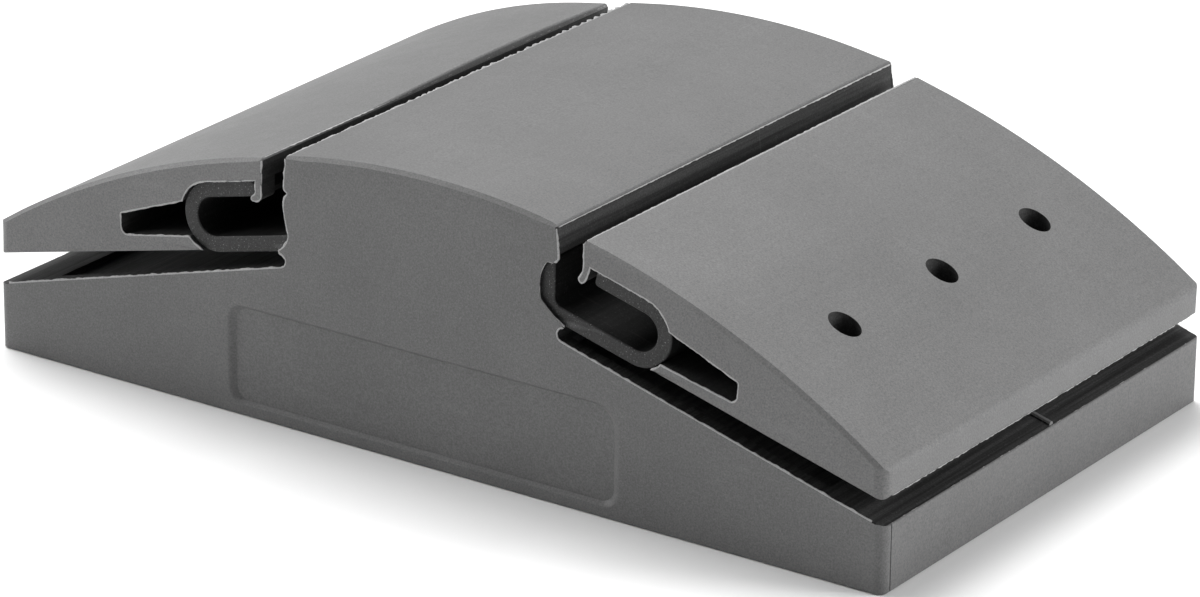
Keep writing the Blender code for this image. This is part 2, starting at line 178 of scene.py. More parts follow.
# flash, the thin ragged skin that trimming leaves along the edges
# the second of these is a darker copy of the rubber that paints the shade on faces inside and under the
# pieces
SKIN, PAINTED_SHADE, FLASH = 0, 1, 2    # order of each piece's materials
FLASH_THICKNESS = 0.3
FLASH_STEP = 0.7
FLASH_ROOT = 0.35          # how deep a fin starts inside its piece
FLASH_WAVE = 0.55          # bumps per millimetre of the long and the short waves in its width
FLASH_TATTER = 1.9
LEAST_FLASH = 0.12         # as a share of the greatest width
SLOPE_FLASH = 0.45
WALL_FLASH = 0.5
WINDOW_FLASH = 0.3
RIM_FLASH = 0.35
HOOK_FLASH = 0.42
HEEL_FLASH = 0.45
LIP_FLASH = 0.35
LIP_BULGE = 1.0
RIDGE_LIP = {              # drop below the edge, upward lean, width in front, gain towards the back
    1: (0.75, -0.1, 0.35, 0.45),
    -1: (0.35, 0.6, 0.5, 0.6),
}
FLASH_SEED = {
    "base_end": 3,
    "ridge": 11,
    "rim": 21,
    "flap_end": 31,
    "lip": 41,
    "heel": 51,
}


# ---------------------------------------------------------------------------
# outlines
# ---------------------------------------------------------------------------
def clamped(value):
    return min(1.0, max(0.0, value))


def towards_back(y):
    """0 at the front face and 1 at the back face."""
    return (y + HALF_L) / (2 * HALF_L)


def along(x, z, short):
    """Straight path along Y that stops short of both end faces."""
    return [(x, y, z) for y in (-HALF_L + short, HALF_L - short)]


def arc(centre, radius, start, end, steps):
    """Points of an arc from angle start to angle end, in degrees."""
    points = []
    for i in range(steps + 1):
        a = math.radians(start + (end - start) * i / steps)
        points.append((centre[0] + radius * math.cos(a), centre[1] + radius * math.sin(a)))
    return points


def bulge(start, end, radius, steps):
    """Points of a shallow arc from start to end that bulges to the left of its way."""
    a, b = Vector(start), Vector(end)
    half = (b - a).length / 2
    across = (b - a).normalized()
    left = Vector((-across.y, across.x))
    centre = (a + b) / 2 - left * math.sqrt(radius ** 2 - half ** 2)
    first = math.degrees(math.atan2(a.y - centre.y, a.x - centre.x))
    last = math.degrees(math.atan2(b.y - centre.y, b.x - centre.x))
    return arc(centre, radius, first, last, steps)


def rounded(corners, steps=8):
    """Closed outline from (x, z, radius) corners, each corner an arc of its radius."""
    points = []
    for i, (x, z, radius) in enumerate(corners):
        here = Vector((x, z))
        if radius <= 0:
            points.append((x, z))
            continue
        before = (Vector(corners[i - 1][:2]) - here).normalized()
        after = (Vector(corners[(i + 1) % len(corners)][:2]) - here).normalized()
        half_angle = before.angle(after) / 2
        middle = here + (before + after).normalized() * radius / math.sin(half_angle)
        reach = radius / math.tan(half_angle)
        first = here + before * reach - middle
        last = here + after * reach - middle
        a = math.atan2(first.y, first.x)
        turn = (math.atan2(last.y, last.x) - a + math.pi) % (2 * math.pi) - math.pi
        points += arc(middle, radius, math.degrees(a), math.degrees(a + turn), steps)
    return points


def flowing(points, per=5):
    """Smooth curve through the points, for the wavy edges that trimming leaves."""
    knots = [Vector(p) for p in points]
    made = []
    last = len(knots) - 1
    for i in range(last):
        a, b, c, d = knots[max(i - 1, 0)], knots[i], knots[i + 1], knots[min(i + 2, last)]
        for k in range(per):
            t = k / per
            spot = 0.5 * (2 * b + (c - a) * t + (2 * a - 5 * b + 4 * c - d) * t ** 2
                          + (3 * b - a - 3 * c + d) * t ** 3)
            made.append(tuple(spot))
    return made + [tuple(knots[-1])]


def mirrored(points):
    """The same points on the left side, reversed so that a loop still turns the same way."""
    return [(-x, z) for x, z in reversed(points)]


# ---------------------------------------------------------------------------
# solids
# ---------------------------------------------------------------------------
def add_object(name, bm):
    """Object from a bmesh in millimetres, which is freed."""
    bmesh.ops.recalc_face_normals(bm, faces=bm.faces)
    mesh = bpy.data.meshes.new(name)
    bm.to_mesh(mesh)
    bm.free()
    mesh.transform(Matrix.Scale(MM, 4))
    made = bpy.data.objects.new(name, mesh)
    bpy.context.scene.collection.objects.link(made)
    return made


def loft(name, rings):
    """Closed solid through rings of equal length, with a flat cap on each end."""
    bm = bmesh.new()
    rows = [[bm.verts.new(p) for p in ring] for ring in rings]
    count = len(rows[0])
    for low, high in zip(rows, rows[1:]):
        for i in range(count):
            j = (i + 1) % count
            bm.faces.new((low[i], low[j], high[j], high[i]))
    bm.faces.new(rows[0])
    bm.faces.new(rows[-1])
    return add_object(name, bm)


def inward_normals(outline):
    """For each point of a closed outline, the way into the solid, stretched at corners."""
    points = [Vector(p) for p in outline]
    count = len(points)
    area = sum(points[i - 1].cross(points[i]) for i in range(count))
    turn = 1 if area > 0 else -1
    normals = []
    for i, p in enumerate(points):
        before = (p - points[i - 1]).normalized()
        after = (points[(i + 1) % count] - p).normalized()
        across = Vector((-before.y - after.y, before.x + after.x)) * turn
        if across.length < HAIRPIN:
            normals.append(Vector((0, 0)))
            continue
        stretch = min(MOST_STRETCH, 2 / across.length)
        normals.append(across.normalized() * stretch)
    return normals


def swept(name, outline, half, bevel_of, uneven=None):
    """Closed solid of an XZ outline swept along Y, its two end edges bevelled.

    bevel_of gives the bevel at an outline point, and uneven(x, z, y) an optional
    rise of a point, for a top that isn't quite the same all along.
    """
    normals = inward_normals(outline)
    bevels = [bevel_of(x, z) for x, z in outline]

    def end_ring(side, share):
        ring = []
        for (x, z), n, r in zip(outline, normals, bevels):
            inset = r * (1 - share)
            ring.append([x + n.x * inset, side * (half - r * share), z + n.y * inset])
        return ring

    margin = max(bevels) + BEVEL_MARGIN
    count = max(2, round(2 * (half - margin) / STATION))
    rings = [end_ring(-1, 0), end_ring(-1, 1)]
    for k in range(count + 1):
        y = -half + margin + 2 * (half - margin) * k / count
        rings.append([[x, y, z] for x, z in outline])
    rings += [end_ring(1, 1), end_ring(1, 0)]
    if uneven:
        for ring in rings:
            for (x, z), p in zip(outline, ring):
                p[2] += uneven(x, z, p[1])
    return loft(name, rings)


def prism(name, outline, low, high, up="Y"):
    """Plain sharp-edged solid, used to cut and to join."""
    if up == "Y":
        rings = [[(x, y, z) for x, z in outline] for y in (low, high)]
    else:
        rings = [[(x, y, z) for x, y in outline] for z in (low, high)]
    return loft(name, rings)


def shape_with(solid, steps):
    """Apply exact Booleans in turn, and remove their tools."""
    for other, operation in steps:
        step = solid.modifiers.new(other.name, "BOOLEAN")
        step.solver = "EXACT"
        step.operation = operation
        step.object = other
    bpy.context.view_layer.update()
    evaluated = solid.evaluated_get(bpy.context.evaluated_depsgraph_get())
    mesh = bpy.data.meshes.new_from_object(evaluated)
    solid.modifiers.clear()
    old = solid.data
    solid.data = mesh
    bpy.data.meshes.remove(old)
    for other, _ in steps:
        bpy.data.objects.remove(other)


def finish_surface(solid, materials, in_painted_shade):
    """Skin on the outer faces, and a darker copy that paints shade on those for which the test (centre,
    normal) holds.

    materials are the skin, the darker copy that paints shade and the one for flash, which is added later.
    """
    mesh = solid.data
    mesh.materials.clear()
    for material in materials:
        mesh.materials.append(material)
    for face in mesh.polygons:
        # faces picked by the test get the darker copy, as painted shade
        painted_dark = in_painted_shade(face.center / MM, face.normal)
        face.material_index = PAINTED_SHADE if painted_dark else SKIN
    mesh.shade_smooth()
    mesh.set_sharp_from_angle(angle=SHARP_ANGLE)


def on_end_face(centre, normal):
    """Whether a face belongs to one of the flat ends of a moulding."""
    return abs(normal.y) > 0.6 and abs(centre.y) > HALF_L - 0.1


def soften(solid):
    """Even shading over the bevels."""
    weigh = solid.modifiers.new("even_shading", "WEIGHTED_NORMAL")
    weigh.keep_sharp = True
    weigh.mode = "FACE_AREA"


def spaced(path):
    """The path's points, with more between them so that no step is long."""
    points = [Vector(path[0])]
    for target in path[1:]:
        start, end = points[-1], Vector(target)
        steps = max(1, math.ceil((end - start).length / FLASH_STEP))
        points += [start.lerp(end, (k + 1) / steps) for k in range(steps)]
    return points


def add_flash(solid, path, out_of, thick, width_of, seed):
    """Thin ragged fin of trimmed rubber along an edge, merged into the piece's mesh.

    out_of(point) is the fin's direction, thick the direction of its thickness
    and width_of(point) its greatest width.
    """
    points = spaced(path)
    bm = bmesh.new()
    bm.from_mesh(solid.data)
    rows = []
    for p in points:
        out = out_of(p)
        ragged = noise.noise(p * FLASH_WAVE + Vector((seed, 0, 0)))
        fine = noise.noise(p * FLASH_TATTER + Vector((0, seed, 0)))
        width = width_of(p) * min(1.0, max(LEAST_FLASH, 0.5 + 0.7 * ragged + 0.35 * fine))
        root, tip = p - out * FLASH_ROOT, p + out * width
        half = thick * FLASH_THICKNESS / 2
        corners = (root - half, tip - half * 0.5, tip + half * 0.5, root + half)
        rows.append([bm.verts.new(c * MM) for c in corners])
    made = [bm.faces.new(rows[0]), bm.faces.new(rows[-1])]
    for low, high in zip(rows, rows[1:]):
        for i in range(4):
            j = (i + 1) % 4
            made.append(bm.faces.new((low[i], low[j], high[j], high[i])))
    for face in made:
        face.material_index = FLASH
        face.smooth = True
    bmesh.ops.recalc_face_normals(bm, faces=made)
    bm.to_mesh(solid.data)
    bm.free()


# ---------------------------------------------------------------------------
# base
# ---------------------------------------------------------------------------
def flange_z(x):
    """Height of a flange's sloping top."""
    return END_HEIGHT + FLANGE_SLOPE * (HALF_W - x)


def base_side():
    """Right side of the base section, from the low end up to the ridge's edge."""
    slot_x = SLOT_END_X + SLOT_RADIUS
    slot_centre = (slot_x, flange_z(slot_x) + SLOT_RADIUS * SLOT_RISE)
    fall = math.degrees(math.atan(FLANGE_SLOPE))
    slot = arc(slot_centre, SLOT_RADIUS, 270 - fall, 90, 12)
    wall = flowing([
        (48.4, SLOT_TOP_Z),
        (46.2, 54.4),
        (45.0, 57.4),
        (45.9, 61.6),
        (46.5, 65.4),
        (46.2, 68.2),
        (45.2, 69.9),
        (46.3, 71.2),
        (46.2, RIDGE_WALL_TOP_Z),
    ])
    foot = rounded([
        (FLANGE_END_X, 0.0, 0),
        (HALF_W, 0.0, FOOT_RADIUS),
        (HALF_W, END_HEIGHT, END_EDGE_RADIUS),
        (FLANGE_END_X, flange_z(FLANGE_END_X), 0),
    ])
    return foot[1:] + slot + wall


def base_section():
    """Closed section of the base without its grooves."""
    side = base_side()
    rise = CROWN_Z - RIDGE_EDGE_Z
    crown_radius = (RIDGE_HALF ** 2 + rise ** 2) / (2 * rise)
    left_edge, right_edge = (-RIDGE_HALF, RIDGE_EDGE_Z), (RIDGE_HALF, RIDGE_EDGE_Z)
    dome = bulge(left_edge, right_edge, crown_radius, DOME_STEPS)[::-1]
    corner = rounded([
        (RIDGE_HALF + 0.3, RIDGE_WALL_TOP_Z, 0),
        (*right_edge, RIDGE_EDGE_RADIUS),
        (*dome[DOME_SKIP + 1], 0),
    ])[1:-1]
    return side + corner + dome[DOME_SKIP:-DOME_SKIP] + mirrored(corner) + mirrored(side)


def groove_section():
    """Groove that seats the right clip, open towards the flap."""
    seat_radius = HEEL_RADIUS + CLIP_THICKNESS / 2 + GAP
    pivot = PIVOT["right"]
    wall_x = pivot.x - seat_radius
    seat = arc((pivot.x, pivot.z), seat_radius, 180, 270 - math.degrees(CLIP_TILT), 24)
    return [
        (MOUTH_X, seat[-1][1] - math.tan(CLIP_TILT) * (MOUTH_X - seat[-1][0])),
        (MOUTH_X, GROOVE_TOP_Z),
        (wall_x + GROOVE_CHAMFER, GROOVE_TOP_Z),
        (wall_x, GROOVE_TOP_Z - GROOVE_CHAMFER),
    ] + seat


def window_edge():
    """Trimmed edge of the opening in an end web, through which the clip's leg shows."""
    return flowing([
        (44.4, WINDOW_TOP_Z),
        (42.6, 69.6),
        (41.2, 67.6),
        (40.4, 65.0),
        (40.2, 61.6),
        (40.6, 58.6),
        (42.2, 56.8),
        (44.0, 55.3),
        (46.0, 53.8),
        (48.5, 52.4),
    ])


def window_section():
    return [(MOUTH_X, WINDOW_BOTTOM_Z), (MOUTH_X, WINDOW_TOP_Z)] + window_edge()


def plan_outline():
    """Footprint of the base, with a parting line beside its front right corner."""
    corners = [
        (-HALF_W, -HALF_L, CORNER_RADIUS_FRONT),
        (HALF_W, -HALF_L, CORNER_RADIUS_FRONT),
        (HALF_W, HALF_L, CORNER_RADIUS_BACK),
        (-HALF_W, HALF_L, CORNER_RADIUS_BACK),
    ]
    around = rounded(corners, steps=PLAN_CORNER_STEPS)
    seam_y = -HALF_L + CORNER_RADIUS_FRONT
    seam = [
        (HALF_W - SEAM_DEPTH, seam_y + 0.5 * SEAM_WIDTH),
        (HALF_W, seam_y + SEAM_WIDTH),
    ]
    front = 2 * (PLAN_CORNER_STEPS + 1)
    return around[:front] + seam + around[front:]


def recess_tool(name, flip):
    """Shallow recess in a flange top, with sloping sides."""
    end = HALF_L - RIM_WIDTH
    floor = [
        (RECESS_INNER_X, -end),
        (RECESS_OUTER_X, -end),
        (RECESS_OUTER_X, end),
        (RECESS_INNER_X, end),
    ]
    rings = []
    for level in (-1, 0, 2):
        grow = RECESS_DRAFT * (level + 1)
        lift = RECESS_DEPTH * level
        ring = []
        for x, y in floor:
            wide_x = x + (grow if x > RECESS_INNER_X else -grow)
            wide_y = y + math.copysign(grow, y)
            ring.append((flip * wide_x, wide_y, flange_z(wide_x) + lift))
        rings.append(ring)
    return loft(name, rings)


def rib_tool(name, flip):
    """Low rounded rib across a flange top."""
    half = RIB_WIDTH / 2
    shoulder = [(half, 0.45 * RIB_HEIGHT), (half * 0.6, 0.9 * RIB_HEIGHT)]
    profile = [(-half, -RIB_ROOT), (half, -RIB_ROOT)] + shoulder + [(0.0, RIB_HEIGHT)] + mirrored(shoulder)
    rings = []
    for x in (RIB_INNER_X, RIB_OUTER_X):
        rings.append([(flip * x, flip * RIB_Y + y, flange_z(x) + z) for y, z in profile])
    return loft(name, rings)


def panel_tool(name, side):
    """Blank panel sunk into a long face, its walls sloping in softly."""
    rings = []
    for spread, depth in PANEL_WALL:
        wide = PANEL_HALF_W + PANEL_DRAFT_X * spread
        low = PANEL_BOTTOM_Z - PANEL_DRAFT_Z * spread
        high = PANEL_TOP_Z + PANEL_DRAFT_Z * spread
        corner = PANEL_CORNER + spread
        wide_corner = PANEL_WIDE_CORNER + spread
        corners = [
            (-wide, low, corner),
            (wide, low, corner),
            (wide, high, wide_corner),
            (-wide, high, corner),
        ]
        outline = rounded(corners, steps=10)
        rings.append([(x, side * (HALF_L - PANEL_DEPTH * depth), z) for x, z in outline])
    return loft(name, rings)


def growing_bevel(inset):
    """Bevel of a domed top, small at its long edges and full a few millimetres in."""
    return min(TOP_EDGE_BEVEL, BEVEL_START + BEVEL_GROWTH * max(0.0, inset))


def base_bevel(x, z):
    """The domed top meets the end faces in a wide bevel, the rest in a small one."""
    on_dome = z > RIDGE_EDGE_Z - 0.3
    return growing_bevel(RIDGE_HALF - abs(x)) if on_dome else SMALL_EDGE_BEVEL


def base_painted_shade_faces(centre, normal):
    """The rougher faces of the base, painted darker as shade: its flange tops, slots, grooves and ridge
    walls.
    """
    if on_end_face(centre, normal):
        return False
    x, y, z = abs(centre.x), centre.y, centre.z
    rib_y = math.copysign(RIB_Y, centre.x)
    if abs(y - rib_y) < RIB_WIDTH / 2 + 0.1 and flange_z(x) - 0.2 < z < 60:
        return False
    over_flange = SLOT_END_X < x <= HALF_W - 0.9 and END_HEIGHT - 1 < z < 56
    over_recess = z > flange_z(x) - RECESS_DEPTH - 0.4
    by_groove = 36 < x < 62 and 50 < z < RIDGE_EDGE_Z - 1.1
    return (over_flange and over_recess) or by_groove


def add_base_flash(base):
    side = base_side()
    near_ridge = [p for p in side if p[0] <= SLOT_END_X + 4]
    slope = [p for p in side if SLOT_END_X + 1 < p[0] <= FLANGE_END_X and abs(p[1] - flange_z(p[0])) < 0.05]
    slot = [p for p in near_ridge if p[1] < SLOT_TOP_Z]
    wall = [p for p in near_ridge if p[1] > SLOT_TOP_Z - 0.2] + [(RIDGE_HALF, RIDGE_EDGE_Z - 1.0)]
    wall_top = [p for p in wall if p[1] > WINDOW_TOP_Z + 0.1]
    middle = [(0.0, RIDGE_EDGE_Z), (0.0, 10.0)]
    for flip in (1, -1):
        turn = list if flip > 0 else mirrored
        loop = turn(side + wall[-1:] + middle)
        hole = turn(window_section())
        for end in (-1, 1):
            seed = FLASH_SEED["base_end"] + flip + end
            end_flash_on(base, loop, turn(slope), end, SLOPE_FLASH, seed)
            if end == -flip:
                end_flash_on(base, loop, turn(slot), end, WALL_FLASH, seed)
                end_flash_on(base, loop, turn(wall_top), end, WALL_FLASH, seed)
                end_flash_on(base, hole, turn(window_edge()), end, WINDOW_FLASH, seed, into=-1)
            else:
                end_flash_on(base, loop, turn(slot + wall), end, WALL_FLASH, seed)
        drop, rise, front_width, gain = RIDGE_LIP[flip]
        ridge = along(flip * (RIDGE_HALF + 0.1), RIDGE_EDGE_Z - drop, TOP_EDGE_BEVEL)
        outward = Vector((flip, 0, rise)).normalized()
        add_flash(base, ridge, lambda p: outward, Z_AXIS,
                  lambda p: front_width + gain * towards_back(p.y), FLASH_SEED["ridge"] + flip)
        rim = along(flip * (HALF_W - 0.55), END_HEIGHT - 0.12, 4)
        upward = Vector((flip * 0.25, 0, 1)).normalized()
        add_flash(base, rim, lambda p: upward, X_AXIS, lambda p: RIM_FLASH, FLASH_SEED["rim"] + flip)


def end_flash_on(solid, loop, edge, side, width, seed, into=1):
    """Flash at an end face along edge, a run of the closed outline loop.

    into is -1 where the loop bounds an opening and not the material.
    """
    inward = dict(zip(loop, inward_normals(loop)))
    y = side * (HALF_L - FLASH_THICKNESS / 2 - 0.02)
    spots = [(Vector((x, y, z)), inward[(x, z)]) for x, z in edge]

    def out_of(point):
        n = min(spots, key=lambda s: (s[0] - point).length_squared)[1]
        return Vector((-n.x, 0.0, -n.y)).normalized() * into

    add_flash(solid, [spot for spot, _ in spots], out_of, Y_AXIS, lambda p: width, seed)


def make_base(materials):
    base = swept("base_moulding", base_section(), HALF_L, base_bevel)
    steps = [(prism("plan", plan_outline(), -5, CROWN_Z + 5, up="Z"), "INTERSECT")]
    for flip, turn in ((1, list), (-1, mirrored)):
        groove = prism("groove", turn(groove_section()), -HALF_L + WEB, HALF_L - WEB)
        steps.append((groove, "DIFFERENCE"))
        end = -flip
        low, high = sorted((end * (HALF_L + 1), end * (HALF_L - WEB - 1)))
        steps.append((prism("window", turn(window_section()), low, high), "DIFFERENCE"))
        steps.append((recess_tool("recess", flip), "DIFFERENCE"))
        steps.append((rib_tool("rib", flip), "UNION"))
    steps.append((panel_tool("front_panel", -1), "DIFFERENCE"))
    steps.append((panel_tool("back_panel", 1), "DIFFERENCE"))
    shape_with(base, steps)
    finish_surface(base, materials, base_painted_shade_faces)
    add_base_flash(base)
    soften(base)
    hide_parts("base_body")
    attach(base, "base")


# ---------------------------------------------------------------------------
# clips and flaps, drawn from the centre of the heel
# ---------------------------------------------------------------------------
ALONG = Vector((math.cos(CLIP_TILT), -math.sin(CLIP_TILT)))
ABOVE = Vector((math.sin(CLIP_TILT), math.cos(CLIP_TILT)))
FALL = math.degrees(CLIP_TILT)
BEND_CENTRE = ALONG * BOTTOM_ARM + ABOVE * (BEND_RADIUS - HEEL_RADIUS)


def place(solid, side):
    """Move a piece from the heel's frame to its place, at its resting lean."""
    solid.data.transform(Matrix.Translation(PIVOT[side] * MM) @ Matrix.Rotation(SETTLE, 4, "Y"))


def clip_side(offset):
    """One face of the strip, offset from its centre line towards the outside of the C."""
    leg = LEG_TOP_Z - PIVOT["right"].z
    points = [(-HEEL_RADIUS - offset, leg)]
    points += arc((0.0, 0.0), HEEL_RADIUS + offset, 180, 270 - FALL, 16)
    points += arc(BEND_CENTRE, BEND_RADIUS + offset, 270 - FALL, 450 - FALL, 32)
    end = BEND_CENTRE + ABOVE * (BEND_RADIUS + offset) - ALONG * TOP_ARM
    return points + [tuple(end)]


def clip_outline():
    """Closed C of the strip, with the corners of its two ends rounded."""
    outer = clip_side(CLIP_THICKNESS / 2)
    inner = clip_side(-CLIP_THICKNESS / 2)[::-1]
    loop = [(*p, 0) for p in outer + inner]
    last_outer = len(outer) - 1
    for i in (0, last_outer, last_outer + 1, len(loop) - 1):
        loop[i] = (*loop[i][:2], CLIP_CORNER)
    return rounded(loop, steps=3)


def make_clip(side, materials):
    turn = list if side == "right" else mirrored
    outline = turn(clip_outline())
    clip = swept(side + "_clip_strip", outline, HALF_L - CLIP_RECESS, lambda x, z: SMALL_EDGE_BEVEL)
    # a clip's long faces, which lie in its groove and flap, get the darker copy that paints their shade
    finish_surface(clip, materials, lambda centre, normal: abs(normal.y) < 0.5)
    soften(clip)
    place(clip, side)
    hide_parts(side + "_clip")
    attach(clip, side + "_leaf")


def from_pivot(point):
    """A point of the right side's section, seen from the centre of its heel."""
    return (point[0] - PIVOT["right"].x, point[1] - PIVOT["right"].z)


def on_underside(x, side):
    """Point of a flap's sloping underside."""
    return (x, FLAP_BOTTOM_W[side] / math.cos(CLIP_TILT) - math.tan(CLIP_TILT) * x)


def on_ceiling(x, above=0.0):
    """Point of the flap's inner face that lies on the clip's top arm."""
    w = 2 * BEND_RADIUS - HEEL_RADIUS + CLIP_THICKNESS / 2 + GAP + above
    return (x, w / math.cos(CLIP_TILT) - math.tan(CLIP_TILT) * x)


def seat_angle(centre, towards):
    """Direction from a centre to a point, in degrees."""
    return math.degrees(math.atan2(towards[1] - centre[1], towards[0] - centre[0]))


def hook_outline(side, wall_x):
    """Turned-in tip that keeps the clip's arm in the flap."""
    hook_x = wall_x + HOOK_THICKNESS
    if side == "right":      # tip turned towards the ridge
        tip = [
            (hook_x - 0.3, 10.6),
            (hook_x - 1.2, 8.2),
            (hook_x - 2.0, 6.9),
            (hook_x - 3.0, 6.7),
            (hook_x - 3.6, 7.6),
            (hook_x - 2.9, 8.9),
            (wall_x - 0.2, 10.6),
            (wall_x, 12.2),
        ]
    else:                    # tip turned under the end of the clip's arm
        tip = [
            (hook_x, 9.0),
            (hook_x + 0.1, 7.7),
            (hook_x + 1.2, 6.7),
            (hook_x + 1.4, 5.9),
            (hook_x + 0.6, 5.4),
            (hook_x - 1.0, 5.7),
            (wall_x, 6.8),
            (wall_x, 8.4),
        ]
    return [on_ceiling(hook_x)] + flowing(tip, per=3)


def flap_outline(side):
    """Closed section of a flap, from its inner top edge over the dome and back by the hook."""
    seat_radius = BEND_RADIUS + CLIP_THICKNESS / 2 + GAP
    inner_top = from_pivot(FLAP_INNER)
    outer_top = from_pivot((FLAP_OUTER_X[side], FLAP_OUTER_TOP_Z))
    dome = bulge(inner_top, outer_top, FLAP_CROWN_RADIUS, FLAP_CROWN_STEPS)
    outer_bottom = on_underside(outer_top[0], side)
    drop = BEND_CENTRE.dot(ABOVE) - FLAP_BOTTOM_W[side]
    tip_angle = -math.degrees(math.asin(drop / seat_radius)) - FALL
    hollow_low = seat_angle(BEND_CENTRE, from_pivot(HOLLOW_BOTTOM_INNER))
    hollow_high = seat_angle(BEND_CENTRE, from_pivot(HOLLOW_TOP_INNER))
    lower_seat = arc(BEND_CENTRE, seat_radius, tip_angle, hollow_low, 10)
    upper_seat = arc(BEND_CENTRE, seat_radius, hollow_high, 90 - FALL, 16)
    hollow = rounded([
        (*lower_seat[-1], 0),
        (*from_pivot(HOLLOW_BOTTOM_OUTER), HOLLOW_RADIUS),
        (*from_pivot(HOLLOW_TOP_OUTER), HOLLOW_RADIUS / 2),
        (*upper_seat[0], 0),
    ], steps=6)
    wall_x = inner_top[0] + 0.2
    top_corner = rounded([
        (wall_x, HOOK_WALL_Z, 0),
        (*inner_top, FLAP_EDGE_RADIUS),
        (*dome[FLAP_SKIP_INNER + 2], 0),
    ])[1:-1]
    nose = rounded([
        (*dome[-FLAP_SKIP_OUTER - 1], 0),
        (*outer_top, FLAP_NOSE_RADIUS),
        (*outer_bottom, FLAP_HEEL_RADIUS),
        (*lower_seat[0], 0),
    ])[1:-1]
    top = top_corner + dome[FLAP_SKIP_INNER:-FLAP_SKIP_OUTER] + nose
    return top + lower_seat + hollow[1:-1] + upper_seat + hook_outline(side, wall_x)


def flap_bevel(side):
    """End bevel of a flap: wide along its domed top, small elsewhere."""
    inner = from_pivot(FLAP_INNER)[0]

    def bevel(x, z):
        on_dome = crown_depth(side, x, z) < DOME_SKIN
        return growing_bevel(abs(x) - inner) if on_dome else SMALL_EDGE_BEVEL

    return bevel


def far_rise(side):
    """The domes aren't quite the same all along: the left one stands higher towards the back."""
    inner = FLAP_INNER[0] - PIVOT["right"].x
    outer = FLAP_OUTER_X[side] - PIVOT["right"].x

    def rise(x, z, y):
        if crown_depth(side, x, z) > DOME_SKIN:
            return 0.0
        across = clamped((abs(x) - inner) / (outer - inner))
        back = towards_back(y)
        if side == "right":
            return -FAR_DROP * back * (1 - 0.5 * across)
        lip = FAR_LIP_RISE * math.sin(math.pi * clamped((back - 0.3) / 0.75))
        return lip * (1 - across) ** 2 + FAR_DOME_RISE * back * math.sin(math.pi * across)

    return rise


def crown_depth(side, x, z):
    """How far a point of the flap's section lies under its dome."""
    inner_top = Vector(from_pivot(FLAP_INNER))
    outer_top = Vector(from_pivot((FLAP_OUTER_X[side], FLAP_OUTER_TOP_Z)))
    half = (outer_top - inner_top).length / 2
    across = (outer_top - inner_top).normalized()
    middle = (inner_top + outer_top) / 2
    centre = middle - Vector((-across.y, across.x)) * math.sqrt(FLAP_CROWN_RADIUS ** 2 - half ** 2)
    return FLAP_CROWN_RADIUS - (Vector((abs(x), z)) - centre).length


def flap_painted_shade_faces(side):
    """The rougher faces of a flap, painted darker as shade: its underside, hollow, seat, inner wall and
    bores.
    """
    outer = FLAP_OUTER_X[side] - PIVOT["right"].x

    def in_painted_shade(centre, normal):
        x, z = abs(centre.x), centre.z
        if on_end_face(centre, normal):
            return False
        if x > outer - FLAP_CORNER_RADIUS and normal.z > -0.5:
            return False
        deep = crown_depth(side, x, z) > TOP_EDGE_BEVEL + 0.4
        return deep and not (abs(normal.y) > 0.2 and abs(centre.y) > HALF_L - 0.6)

    return in_painted_shade


def flap_plan(side):
    """Footprint of a flap, with its two outer corners rounded."""
    outer_x = FLAP_OUTER_X[side] - PIVOT["right"].x
    corners = [
        (-20.0, -HALF_L - 1, 0),
        (outer_x, -HALF_L, FLAP_CORNER_RADIUS),
        (outer_x, HALF_L, FLAP_CORNER_RADIUS),
        (-20.0, HALF_L + 1, 0),
    ]
    return rounded(corners, steps=12)


def hook_space():
    """Section of the room between the hooks, which are only at the flap's two ends."""
    low_x = -8.0
    high_x = FLAP_INNER[0] - PIVOT["right"].x + HOOK_THICKNESS + 1.0
    return [(low_x, 0.0), (high_x, 0.0), on_ceiling(high_x, 0.05), on_ceiling(low_x, 0.05)]


def make_flap(side, materials):
    turn = list if side == "right" else mirrored
    outline = turn(flap_outline(side))
    flap = swept(side + "_flap_moulding", outline, HALF_L, flap_bevel(side), far_rise(side))
    steps = [(prism("plan", turn(flap_plan(side)), CUT_LOW, CUT_HIGH, up="Z"), "INTERSECT")]
    reach = HALF_L - HOOK_LENGTH
    steps.append((prism("hook_space", turn(hook_space()), -reach, reach), "DIFFERENCE"))
    if side == "right":
        for number in range(BOLT_COUNT):
            steps.append((bolt_drill(number), "DIFFERENCE"))
    shape_with(flap, steps)
    finish_surface(flap, materials, flap_painted_shade_faces(side))
    add_flap_flash(flap, side)
    soften(flap)
    place(flap, side)
    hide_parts(side + "_flap")
    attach(flap, side + "_leaf")


def add_flap_flash(flap, side):
    flip = 1 if side == "right" else -1
    turn = list if side == "right" else mirrored
    outline = flap_outline(side)
    edge = [p for p in outline if crown_depth(side, *p) > 2.4 and p[0] < 64] + outline[:1]
    for end in (-1, 1):
        seed = FLASH_SEED["flap_end"] + flip + end
        end_flash_on(flap, turn(outline), turn(edge), end, HOOK_FLASH, seed)
    inner_x, inner_z = from_pivot(FLAP_INNER)
    lip = along(flip * (inner_x + 0.25), inner_z - 0.35, 1.5)
    inward = Vector((-flip, 0, 0.35)).normalized()
    add_flash(flap, lip, lambda p: inward, Z_AXIS, inner_lip(side), FLASH_SEED["lip"] + flip)
    outer_x, outer_z = on_underside(FLAP_OUTER_X[side] - PIVOT["right"].x, side)
    heel = along(flip * (outer_x - 0.75), outer_z + 0.45, 5)
    downward = Vector((flip * 0.55, 0, -1)).normalized()
    add_flash(flap, heel, lambda p: downward, X_AXIS, lambda p: HEEL_FLASH, FLASH_SEED["heel"] + flip)


